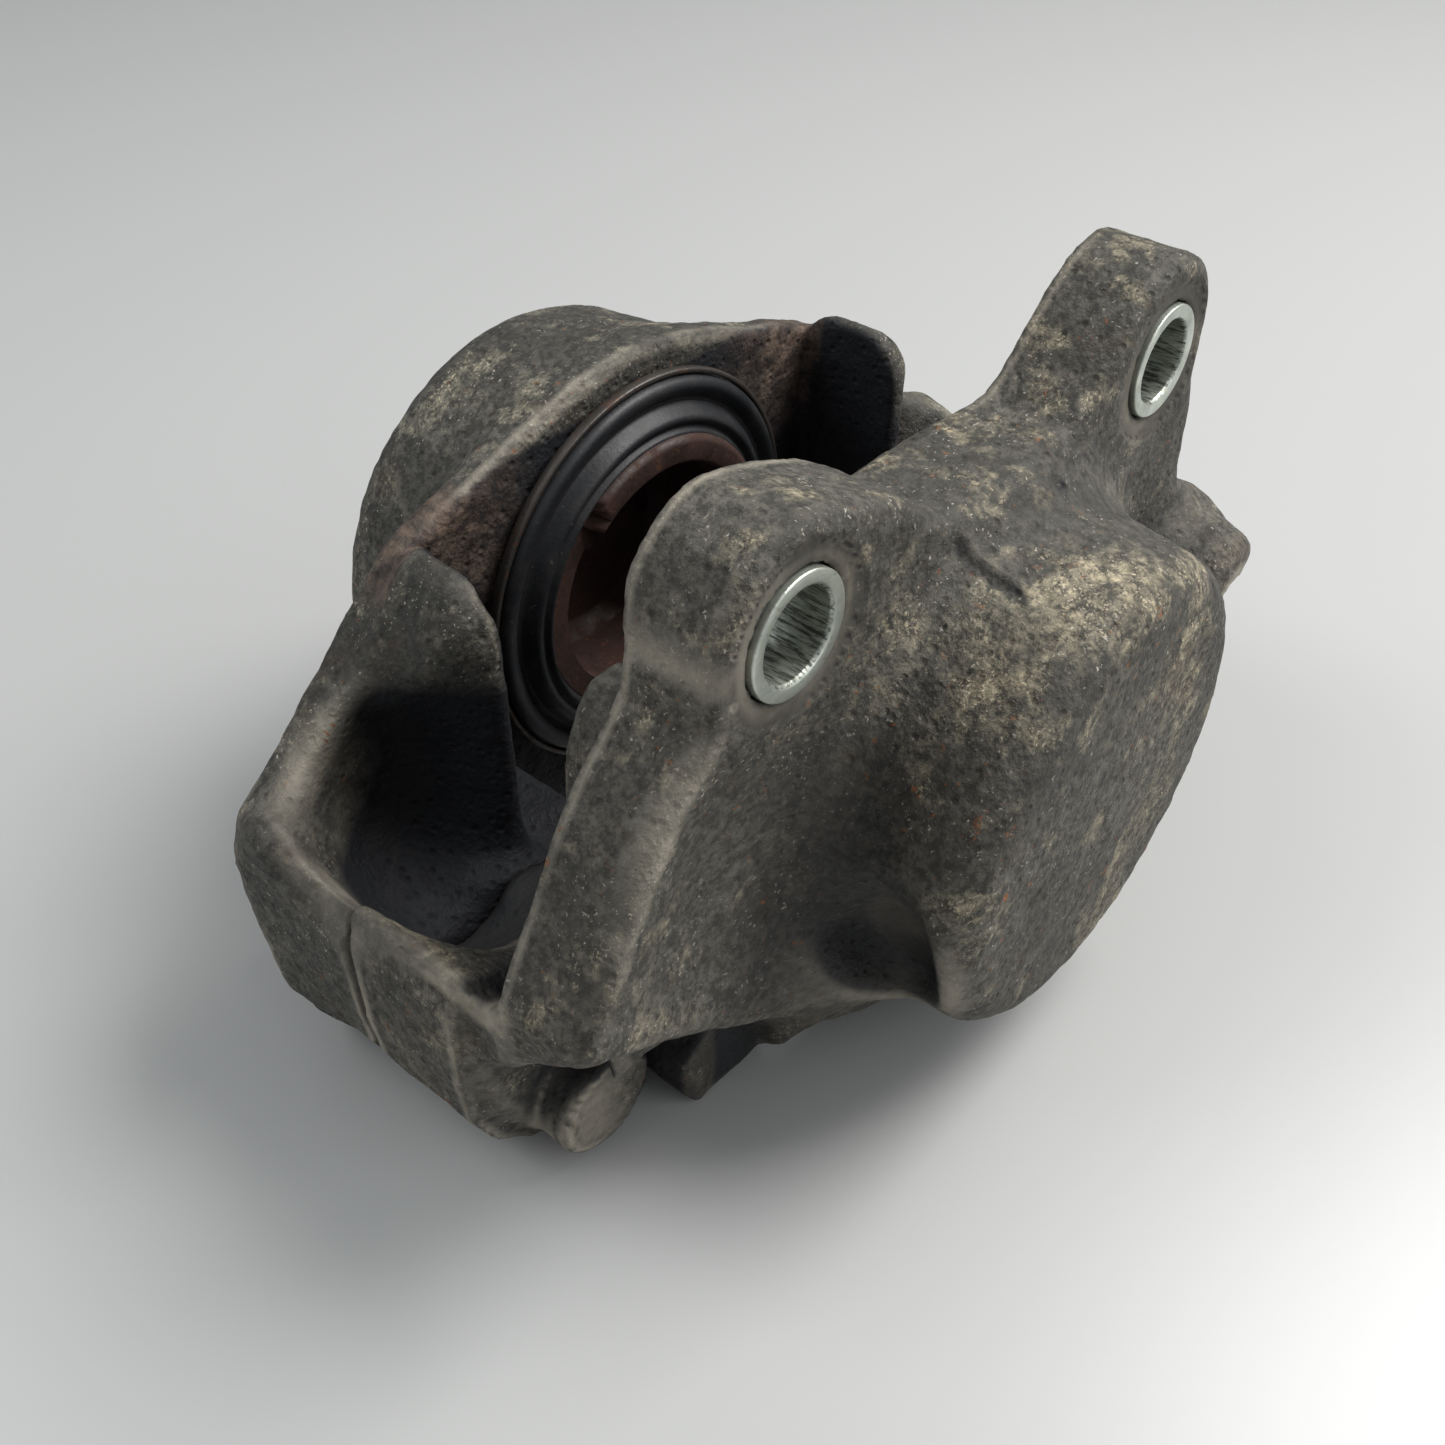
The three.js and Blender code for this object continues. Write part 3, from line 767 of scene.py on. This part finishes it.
def new_group(name, result, **numbers):
    """An empty shader node group for a place and some numbers, and its two end nodes' sockets."""
    tree = bpy.data.node_groups.new(name, "ShaderNodeTree")
    tree.interface.new_socket("Place", in_out="INPUT", socket_type="NodeSocketVector")
    for label, value in numbers.items():
        socket = tree.interface.new_socket(label, in_out="INPUT", socket_type="NodeSocketFloat")
        socket.default_value = value
    tree.interface.new_socket(result, in_out="OUTPUT", socket_type="NodeSocketFloat")
    return tree, tree.nodes.new("NodeGroupInput").outputs, tree.nodes.new("NodeGroupOutput").inputs


def use_group(group, place, **values):
    """The only output of a shared effect, placed in a material with its own values."""
    inputs = {"Place": place, **values}
    return add_node(place.id_data, "ShaderNodeGroup", inputs, node_tree=group).outputs[0]


# %% [markdown]
# ### Shared effects
# Three effects are wanted by several finishes, so each is a node group that is made once.
# **Specks** gives scattered grains: fine noise cut off high, and only where a wider noise allows.
# **Patches** gives stains with ragged outlines. **Sand** gives the height of a sand-cast skin.

# %% Shared effects
def make_specks():
    """Specks: noise of the grain's size above a limit, times noise of the cluster's size."""
    tree, given, out = new_group("specks", "Mask", Size=900.0, Amount=0.5)
    fine = grain(given["Place"], given["Size"], 2.0, 0.7, 0.3)
    cluster_size = times(given["Size"], 0.09)
    cluster = grain(given["Place"], cluster_size, 3.0, 0.65)
    allowed = spread(cluster, 0.38, 0.62)
    limit = math_node("SUBTRACT", 0.78, times(given["Amount"], 0.3))
    above = math_node("SUBTRACT", fine, limit)
    sharp = spread(above, 0.0, 0.05)
    tree.links.new(times(sharp, allowed), out["Mask"])
    return tree


def make_patches():
    """Patches: two noises added, and cut off round a limit that the amount lowers."""
    tree, given, out = new_group("patches", "Mask", Size=60.0, Amount=0.5, Soft=0.1)
    wide = grain(given["Place"], given["Size"], 5.0, 0.62, 0.4)
    limit = math_node("SUBTRACT", 0.75, times(given["Amount"], 0.5))
    top = math_node("ADD", limit, given["Soft"])
    tree.links.new(spread(wide, limit, top), out["Mask"])
    return tree


def make_sand():
    """Sand: fine grains, coarser lumps, and scattered pits cut into them."""
    tree, given, out = new_group("sand", "Height", Size=700.0)
    fine = grain(given["Place"], given["Size"], 4.0, 0.65)
    coarse = grain(given["Place"], times(given["Size"], 0.3), 3.0, 0.6)
    cells = add_node(tree, "ShaderNodeTexVoronoi",
                     {"Vector": given["Place"], "Scale": times(given["Size"], 0.5)})
    pits = spread(cells.outputs["Distance"], 0.08, 0.3, 1.0, 0.0)
    total = math_node("ADD", times(fine, 0.55), times(coarse, 0.6))
    tree.links.new(math_node("SUBTRACT", total, times(pits, 0.35)), out["Height"])
    return tree


SPECKS, PATCHES, SAND = make_specks(), make_patches(), make_sand()
print("node groups:", [g.name for g in bpy.data.node_groups])


# %% [markdown]
# ### Cast iron
# The bare iron has gone dark grey-brown. Road dust lies on it in a thin tan film and in pale
# specks, heaviest on the faces towards the key lamp, where the film also paints light. Rust shows as
# brown stains and orange grains. Soot and old grease, with painted shade, turn the hollows nearly black,
# and the edges are rubbed lighter. The inner half is dustier, and the outer half, which faces the wheel,
# is blacker, with more painted shade and soot in its hollows, and redder, so one recipe is used with two
# sets of amounts.


# %% Cast iron
def start_material(name):
    """A new material, its node tree, its shader, and the object's coordinates."""
    material = bpy.data.materials.new(name)
    material.use_nodes = True
    tree = material.node_tree
    place = tree.nodes.new("ShaderNodeTexCoord").outputs["Object"]
    return material, tree, tree.nodes["Principled BSDF"], place


def feed(shader, colour, rough, height, strength, distance):
    """Gives the shader its colour, its roughness and its bump."""
    lift = {"Strength": strength, "Distance": distance, "Height": height}
    normal = add_node(height.id_data, "ShaderNodeBump", lift).outputs["Normal"]
    wire(shader.inputs, {"Base Color": colour, "Roughness": rough, "Normal": normal})


def darker(colour, share):
    """A colour made darker by a share."""
    return tuple(share * c for c in colour)


def layers(colour, coats):
    """A colour under some coats. Each coat is a share from 0 to 1, and its own colour."""
    for share, coat in coats:
        colour = blend_colour(share, colour, coat)
    return colour


# The bluish near-black below is soot with painted shade, laid over the hollows.
RUST, BROWN_STAIN, PAINTED_SHADE_AND_SOOT = (0.25, 0.085, 0.025), (0.085, 0.045, 0.026), (0.0065, 0.0075, 0.0105)
LARGE_GRAIN, SMALL_GRAIN, FLECK = (0.50, 0.42, 0.28), (0.56, 0.49, 0.35), (0.48, 0.44, 0.38)
RUBBED_EDGE, MACHINED_FACE = (0.40, 0.36, 0.29), (0.13, 0.12, 0.105)
RED_DARK, RED_PALE = (0.030, 0.021, 0.018), (0.15, 0.105, 0.078)
# Faces turned this way get more tan film: dust, and painted light from the key lamp's side.
DUST_AND_KEY_LIGHT_FROM = (0.35, -0.2, 0.85)


def cast_iron(name, bare, film, dust_amount, rust_amount, stain, shade_and_soot_share):
    """Sand-cast iron from its bare colour, dust film, rust, and soot with painted shade."""
    material, tree, shader, place = start_material(name)
    edge, hollow, smooth, red = (stored(tree, key) for key in ("edge", "hollow", "machined", "red"))
    wide = grain(place, 30.0, 4.0, 0.62)
    close = grain(place, 600.0, 5.0, 0.75)
    coarse = grain(place, 330.0, 4.0, 0.75)

    # Dust lies in patches, out in the open, and most on faces turned up and towards the key lamp: partly
    # real dust, partly painted light on the lit side.
    broad = use_group(PATCHES, place, Size=24.0, Amount=0.50, Soft=0.2)
    local = use_group(PATCHES, place, Size=130.0, Amount=0.55, Soft=0.2)
    patchy = math_node("ADD", times(broad, 0.6), times(local, 0.55))
    open_air = spread(hollow, 0.08, 0.45, 1.0, 0.0)
    normal = add_node(tree, "ShaderNodeNewGeometry").outputs["Normal"]
    facing = add_node(tree, "ShaderNodeVectorMath", {0: normal, 1: DUST_AND_KEY_LIGHT_FROM},
                      operation="DOT_PRODUCT").outputs["Value"]
    dust_and_light_facing = spread(facing, -0.35, 0.75, 0.35, 1.0)
    dust_and_lit_side = times(spread(patchy, 0.2, 0.95), open_air, dust_amount, dust_and_light_facing)
    grainy = times(spread(dust_and_lit_side, 0.05, 0.5), 0.9)

    brown = use_group(PATCHES, place, Size=55.0, Amount=stain, Soft=0.25)
    large = use_group(SPECKS, place, Size=1050.0, Amount=0.60)
    small = use_group(SPECKS, place, Size=1900.0, Amount=0.68)
    flecks = use_group(SPECKS, place, Size=1500.0, Amount=0.46)
    spots = use_group(SPECKS, place, Size=520.0, Amount=rust_amount)
    rubbed = times(spread(edge, 0.22, 0.55), spread(wide, 0.40, 0.60), 0.7)
    raw = blend_colour(spread(coarse, 0.40, 0.62), RED_DARK, RED_PALE)
    base = blend_colour(spread(wide, 0.36, 0.64), darker(bare, 0.5), bare)
    colour = layers(base, [
        (spread(close, 0.40, 0.58, 0.0, 0.9), darker(bare, 0.25)),
        (times(brown, 0.65), BROWN_STAIN),
        (times(dust_and_lit_side, spread(close, 0.36, 0.58, 1.0, 0.08)), film),
        (times(large, grainy), LARGE_GRAIN),
        (times(small, grainy), SMALL_GRAIN),
        (times(flecks, spread(hollow, 0.3, 0.6, 0.8, 0.0)), FLECK),
        (rubbed, RUBBED_EDGE),
        (times(spots, 0.85), RUST),
        # Painted shade and soot darken the hollows.
        (times(spread(hollow, 0.2, 0.55), shade_and_soot_share), PAINTED_SHADE_AND_SOOT),
        (red, raw),
        (times(smooth, spread(hollow, 0.3, 0.7, 0.5, 0.1)), MACHINED_FACE)])
    sand = use_group(SAND, place, Size=900.0)
    rough = spread(sand, 0.2, 0.9, 0.9, 0.55)
    wire(shader.inputs, {"Metallic": times(smooth, 0.5), "Specular IOR Level": 0.4})
    height = times(sand, spread(smooth, 0, 1, 1.0, 0.15))
    feed(shader, colour, rough, height, 0.9, 0.0008)
    return material


DUSTY_IRON = cast_iron("dusty_cast_iron", bare=(0.125, 0.117, 0.097), film=(0.50, 0.43, 0.285),
                       dust_amount=1.0, rust_amount=0.36, stain=0.30, shade_and_soot_share=0.88)
SOOTY_IRON = cast_iron("sooty_cast_iron", bare=(0.105, 0.10, 0.085), film=(0.40, 0.37, 0.27),
                       dust_amount=0.85, rust_amount=0.32, stain=0.34, shade_and_soot_share=0.985)


# %% [markdown]
# ### Zinc, steel and rubber
# The bushes are plated with zinc: bright, slightly green, and scored along the bore by the bolts.
# The pistons and screws are steel, which rusts in fine grains. Rubber is nearly black, and dust
# sits in its folds.


# %% Zinc, steel and rubber
def zinc(name):
    """Bright plating with streaks along y, dark where it has worn through."""
    material, tree, shader, place = start_material(name)
    drawn = add_node(tree, "ShaderNodeMapping", {"Vector": place, "Scale": (1.0, 0.13, 1.0)}).outputs[0]
    streaks = grain(drawn, 1900.0, 4.0, 0.7)
    inside = stored(tree, "hollow")
    worn = times(spread(streaks, 0.44, 0.60), spread(inside, 0.3, 0.7), 0.85)
    cloudy = grain(place, 260.0, 3.0, 0.6)
    grime = use_group(SPECKS, place, Size=800.0, Amount=0.45)
    bright = blend_colour(spread(cloudy, 0.3, 0.7), (0.36, 0.39, 0.34), (0.60, 0.63, 0.56))
    colour = layers(bright, [(worn, (0.03, 0.027, 0.023)),
                                   (times(grime, 0.5), (0.12, 0.10, 0.08))])
    shader.inputs["Metallic"].default_value = 0.85
    feed(shader, colour, spread(cloudy, 0.3, 0.7, 0.5, 0.3), streaks, 0.35, 0.0003)
    return material


def old_steel(name, clean, rust, rust_amount, metallic):
    """Steel with a grain of rust over it."""
    material, tree, shader, place = start_material(name)
    tone = grain(place, 120.0, 4.0, 0.6)
    stains = use_group(PATCHES, place, Size=180.0, Amount=rust_amount, Soft=0.2)
    spots = use_group(SPECKS, place, Size=700.0, Amount=0.5)
    base = blend_colour(spread(tone, 0.3, 0.7), darker(clean, 0.55), clean)
    colour = layers(base, [(stains, rust), (times(spots, 0.5), (0.20, 0.075, 0.03))])
    sand = use_group(SAND, place, Size=1300.0)
    shader.inputs["Metallic"].default_value = metallic
    feed(shader, colour, spread(stains, 0, 1, 0.42, 0.8), sand, 0.5, 0.00025)
    return material


def rubber(name):
    """Dull black rubber with a little grey dust."""
    material, tree, shader, place = start_material(name)
    tone = grain(place, 90.0, 4.0, 0.6)
    fine = grain(place, 1500.0, 3.0, 0.6)
    dust = use_group(PATCHES, place, Size=140.0, Amount=0.5, Soft=0.3)
    specks = use_group(SPECKS, place, Size=900.0, Amount=0.4)
    black = blend_colour(spread(tone, 0.3, 0.7), (0.007, 0.008, 0.010), (0.017, 0.018, 0.021))
    colour = layers(black, [(times(dust, 0.35), (0.07, 0.066, 0.062)),
                                  (times(specks, 0.6), (0.13, 0.12, 0.10))])
    shader.inputs["Specular IOR Level"].default_value = 0.4
    feed(shader, colour, spread(tone, 0.3, 0.7, 0.62, 0.42), fine, 0.3, 0.0002)
    return material


ZINC = zinc("zinc_plate")
RUSTY_STEEL = old_steel("rusty_piston_steel", (0.05, 0.032, 0.026), (0.045, 0.018, 0.012), 0.75, 0.15)
DARK_STEEL = old_steel("dark_bolt_steel", (0.09, 0.08, 0.072), (0.075, 0.032, 0.018), 0.45, 0.5)
RUBBER = rubber("dusty_rubber")
print("materials:", [m.name for m in bpy.data.materials])


# %% [markdown]
# ## Placing the castings
# Each casting rides on the fixed body and stands for its frame node.


# %% Place the castings
def settle_in(piece, body, node):
    """Rides the piece on a body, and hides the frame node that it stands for."""
    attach(piece, body)
    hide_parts(node)
    return piece


inner = cast_piece("inner_casting", inner_half, (-82, -62, -2), (82, 8, 106), DUSTY_IRON)
settle_in(inner, "housing", "inner_housing")
outer = cast_piece("outer_casting", outer_half, (-82, 4, -2), (82, 62, 90), SOOTY_IRON)
settle_in(outer, "housing", "outer_housing")

# %% [markdown]
# ## Turned pieces
# Bushes, pistons, boots, rings and screws are round. Each is a profile of radius and distance
# along y, carried round the axis. Corners of the profile are rounded first by a short curve.
# A point of the profile may also be six-sided: its radius then changes with the angle as a
# hexagon's does, which shapes spanner flats and key sockets.


# %% Turned pieces
def softened(profile, radius, closed):
    """The profile with each corner replaced by three points on a curve that cuts it."""
    profile = [tuple(q) + (0,) if len(q) == 2 else tuple(q) for q in profile]
    count = len(profile)
    result = []
    for i, (r, y, sides) in enumerate(profile):
        if not closed and i in (0, count - 1):
            result.append((r, y, sides))
            continue
        here = np.array([r, y], float)
        before = np.array(profile[i - 1][:2], float) - here
        after = np.array(profile[(i + 1) % count][:2], float) - here
        lengths = np.linalg.norm(before), np.linalg.norm(after)
        reach = min(radius, 0.4 * lengths[0], 0.4 * lengths[1])
        a, b = here + before / lengths[0] * reach, here + after / lengths[1] * reach
        for t in (0.0, 0.5, 1.0):
            bend = (1 - t) ** 2 * a + 2 * t * (1 - t) * here + t * t * b
            result.append((bend[0], bend[1], sides))
    return result


def lathe(name, profile, centre, side, material, closed=False, rounding=0.4, turns=96, reshape=None):
    """A profile of radius, distance and sides turned about y. side is the sign of the distance."""
    rows = np.array(softened(profile, rounding, closed))
    angle = np.linspace(0, 2 * math.pi, turns, endpoint=False)
    sector = np.mod(angle, math.pi / 3) - math.pi / 6
    flats = math.cos(math.pi / 6) / np.cos(sector)
    radius = rows[:, 0:1] * np.where(rows[:, 2:3] == 6, flats[None, :], 1.0)
    x = centre[0] + radius * np.cos(angle)
    z = centre[1] + radius * np.sin(angle)
    y = side * np.repeat(rows[:, 1:2], turns, 1)
    if reshape is not None:
        x, y, z = reshape(x, y, z)
    points = np.stack([x, y, z], -1).reshape(-1, 3)
    index = np.arange(len(rows) * turns).reshape(len(rows), turns)
    for row in np.flatnonzero(rows[:, 0] == 0):
        index[row] = index[row, 0]
    around = np.roll(index, -1, axis=1)
    if closed:
        a, b, c, d = index, around, np.roll(around, -1, 0), np.roll(index, -1, 0)
    else:
        a, b, c, d = index[:-1], around[:-1], around[1:], index[1:]
    a, b, c, d = (k.ravel() for k in (a, b, c, d))
    triangles = np.concatenate([np.stack([a, b, c], 1), np.stack([a, c, d], 1)])
    keep = (triangles[:, 0] != triangles[:, 1]) & (triangles[:, 1] != triangles[:, 2])
    triangles = triangles[keep & (triangles[:, 0] != triangles[:, 2])]
    used, triangles = np.unique(triangles, return_inverse=True)
    triangles = triangles.reshape(-1, 3)
    points = points[used]
    p, q, r = (points[triangles[:, k]] for k in range(3))
    if np.einsum("ij,ij->i", p, np.cross(q, r)).sum() < 0:
        triangles = triangles[:, ::-1]
    piece = add_mesh(name, points, triangles, material)
    print(f"{name}: {len(points)} points")
    return piece


def middle(node):
    """The x and z of a frame node's centre, in mm."""
    low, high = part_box(node)
    return (low.x + high.x) / 2 / MM, (low.z + high.z) / 2 / MM


# %% [markdown]
# ### Mounting bushes
# Each bush is a short zinc-plated sleeve pressed into its ear. Its bore is chamfered at both ends,
# so that a bolt finds its way in.

# %% Mounting bushes
BUSH = [(5.95, -35.5), (6.35, -35.95), (7.95, -36), (8.1, -35.8), (8.1, -21.4), (7.7, -21),
        (6.6, -21), (5.95, -21.8), (5.95, -25), (5.95, -30)]
for name in ("left_mounting_bush", "right_mounting_bush"):
    bush = lathe(name + "_sleeve", BUSH, middle(name), 1, ZINC, closed=True, rounding=0.2)
    co = np.zeros(len(bush.data.vertices) * 3)
    bush.data.vertices.foreach_get("co", co)
    co = co.reshape(-1, 3) / MM
    cx, cz = middle(name)
    store(bush, "hollow", smoothstep(6.4 - np.hypot(co[:, 0] - cx, co[:, 2] - cz), 0, 0.3))
    settle_in(bush, "housing", name)

# %% [markdown]
# ### Pistons
# A piston is a deep steel cup, with its open end towards the pad. A groove near the rim holds the
# boot's lip. One side of the rim is cut back, so that the pad's trailing end is pressed less.

# %% Pistons
PISTON = [(0, 41), (3, 41), (3.6, 40.4), (9, 40.4), (16.2, 41), (19.0, 38.5), (19.4, 30), (19.4, 23),
          (19.8, 22), (23.2, 22), (24, 22.8), (24, 24.2), (22.6, 24.6), (22.6, 27.0), (24, 27.4),
          (24, 48.8), (23.2, 49.6), (8, 49.6), (0, 49.6)]


def cut_back(side):
    """Moves the part of the rim beyond a straight line back by 2.5 mm."""
    def reshape(x, y, z):
        deep = np.where(side * x < -13, 24.5, 22.0)
        return x, side * np.maximum(side * y, deep), z
    return reshape


for name, side in (("inner_piston", -1), ("outer_piston", 1)):
    cup = lathe(name + "_cup", PISTON, middle(name), side, RUSTY_STEEL, turns=180, reshape=cut_back(side))
    settle_in(cup, name, name)

# %% [markdown]
# ### Dust boots
# A boot is a thin rubber bellows. Its outer bead sits on the collar round the bore, and its inner
# lip sits in the piston's groove, so it joins two bodies that move apart. It is one surface, and
# it stays where the frame has it, on neither body.

# %% Dust boots
BOOT = [(30.3, 27.7), (31.6, 27.7), (32.4, 27.2), (32.4, 25.4), (31.9, 24.6), (31.0, 24.3), (30.0, 24.7),
        (29.0, 25.6), (28.2, 25.5), (27.4, 24.2), (26.7, 23.3), (25.9, 23.2), (25.3, 23.9), (24.8, 24.0),
        (24.3, 23.2), (23.9, 23.1), (22.9, 24.9), (22.9, 26.3), (24.3, 26.4), (24.9, 25.2), (25.9, 24.9),
        (26.5, 24.8), (27.3, 26.3), (28.4, 26.9), (29.6, 26.3), (30.3, 25.9)]
for name, side in (("inner", -1), ("outer", 1)):
    boot = lathe(name + "_bellows", BOOT, middle(name + "_dust_boot"), side, RUBBER, closed=True,
                 rounding=0.6, turns=128)
    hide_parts(name + "_dust_boot")
    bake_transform(boot)

# %% [markdown]
# ### Clamp rings
# A spring ring holds each boot on its collar. Its section is a small rounded band.

# %% Clamp rings
RING = [(32.7, 25.5), (33.5, 25.5), (33.6, 26.3), (33.5, 27.1), (32.7, 27.1)]
for name, side in (("inner", -1), ("outer", 1)):
    node_name = name + "_boot_clamp_ring"
    ring = lathe(name + "_spring_ring", RING, middle(node_name), side, DARK_STEEL, closed=True,
                 rounding=0.25, turns=128)
    settle_in(ring, "housing", node_name)

# %% [markdown]
# ### Bridge bolts
# Four socket-head bolts hold the halves together. Only their heads show, on the back. The key
# socket is a six-sided profile, the rest is round.

# %% Bridge bolts
BOLT = [(0, -16), (4.0, -16), (4.9, -15), (4.9, 34.3), (8, 34.3), (8, 42.9), (7.1, 43.8), (5.2, 43.8),
        (4.6, 43.2, 6), (4.6, 38.4, 6), (0, 37.6)]
for place in BOLT_PLACES:
    node_name = "bridge_bolt_" + place
    bolt = lathe("cap_screw_" + place, BOLT, middle(node_name), 1, DARK_STEEL, rounding=0.35, turns=72)
    settle_in(bolt, "housing", node_name)

# %% [markdown]
# ### Bleed screw and cap
# The bleed screw lets air out of the outer half. It has spanner flats and a hollow nipple, under a
# rubber cap. Both turn together in the frame.

# %% Bleed screw and cap
SCREW = [(0, 28.3), (2, 28.3), (4, 30.8), (4, 43.3), (5.1, 43.35), (5.2, 43.6, 6), (5.2, 47.8, 6),
         (4.4, 48.0), (3.0, 48.0), (3.0, 49.5), (2.0, 50.5), (2.0, 52.0), (2.7, 53.0), (2.0, 54.5),
         (0.9, 54.5), (0.9, 42), (0, 41.5)]
CAP = [(0, 56.5), (2.6, 56.5), (3.9, 55.6), (4.0, 53), (3.7, 52.2), (4.2, 51.2), (4.2, 48.9),
       (3.35, 48.9), (3.3, 53.4), (2.9, 54.8), (0, 55.0)]
screw = lathe("bleed_nipple", SCREW, middle("bleed_screw"), 1, DARK_STEEL, rounding=0.25, turns=72)
settle_in(screw, "bleeder", "bleed_screw")
cap = lathe("bleed_cap", CAP, middle("bleed_screw_cap"), 1, RUBBER, rounding=0.5, turns=64)
settle_in(cap, "bleeder", "bleed_screw_cap")

# %% [markdown]
# ### Seals
# The piston seals and passage seals are right as they are in the frame, and hardly show. They only
# get the rubber finish.

# %% Seals
for name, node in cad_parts.items():
    if name.endswith("_seal"):
        node.data.materials.clear()
        node.data.materials.append(RUBBER)
